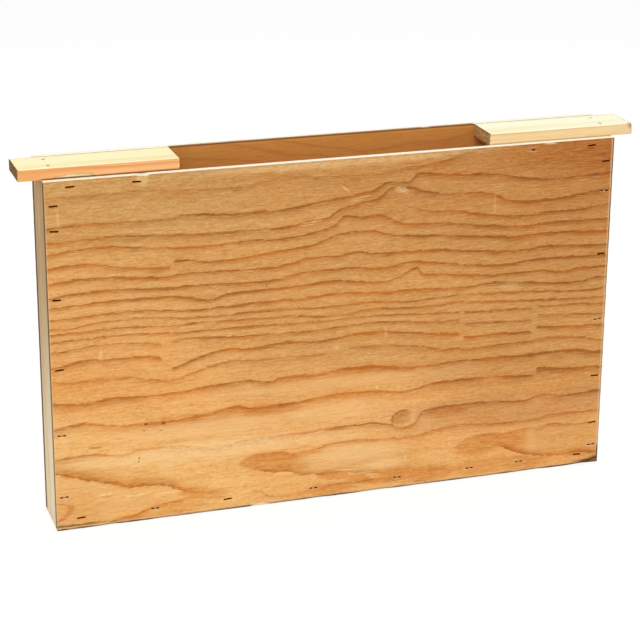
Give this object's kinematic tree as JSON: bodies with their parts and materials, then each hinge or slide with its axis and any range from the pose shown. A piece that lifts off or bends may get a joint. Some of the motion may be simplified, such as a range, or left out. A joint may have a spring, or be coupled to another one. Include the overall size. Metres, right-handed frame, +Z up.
{
  "type": "frame feeder",
  "caption": "Slim plywood syrup tank for a beehive that hangs by short lug bars in place of a comb frame, with a slotted wooden float inside.",
  "frame": {"origin": "middle of the underside, on the surface the tank stands on", "axes": "+X along the body from the left lug to the right lug, -Y out of the low front panel, +Z up"},
  "size_m": [0.4826, 0.046, 0.282],
  "materials": {
    "plywood": "rotary-cut softwood plywood, oiled tan with orange-brown figure",
    "pine_frame": "sawn pine, greyed tan, waxed on the inside",
    "pine_bar": "planed pale pine",
    "float_wood": "waxed thin pine slat",
    "staple_wire": "dulled galvanised wire",
    "brad_wire": "dull steel"
  },
  "bodies": {
    "tank": {"front_panel": "plywood", "back_panel": "plywood", "left_end_post": "pine_frame", "right_end_post": "pine_frame", "bottom_rail": "pine_frame", "left_bar_cleat": "pine_frame", "right_bar_cleat": "pine_frame", "left_lug_bar": "pine_bar", "right_lug_bar": "pine_bar", "front_left_staples": "staple_wire", "front_right_staples": "staple_wire", "front_bottom_staples": "staple_wire", "front_top_staples": "staple_wire", "back_left_staples": "staple_wire", "back_right_staples": "staple_wire", "back_bottom_staples": "staple_wire", "back_top_staples": "staple_wire", "left_lug_brads": "brad_wire", "right_lug_brads": "brad_wire"},
    "float": {"syrup_float": "float_wood"}
  },
  "joints": [
    {"name": "float_rise", "type": "slide", "parent": "tank", "child": "float", "axis": [0, 0, 1], "range_m": [0, 0.234]}
  ]
}
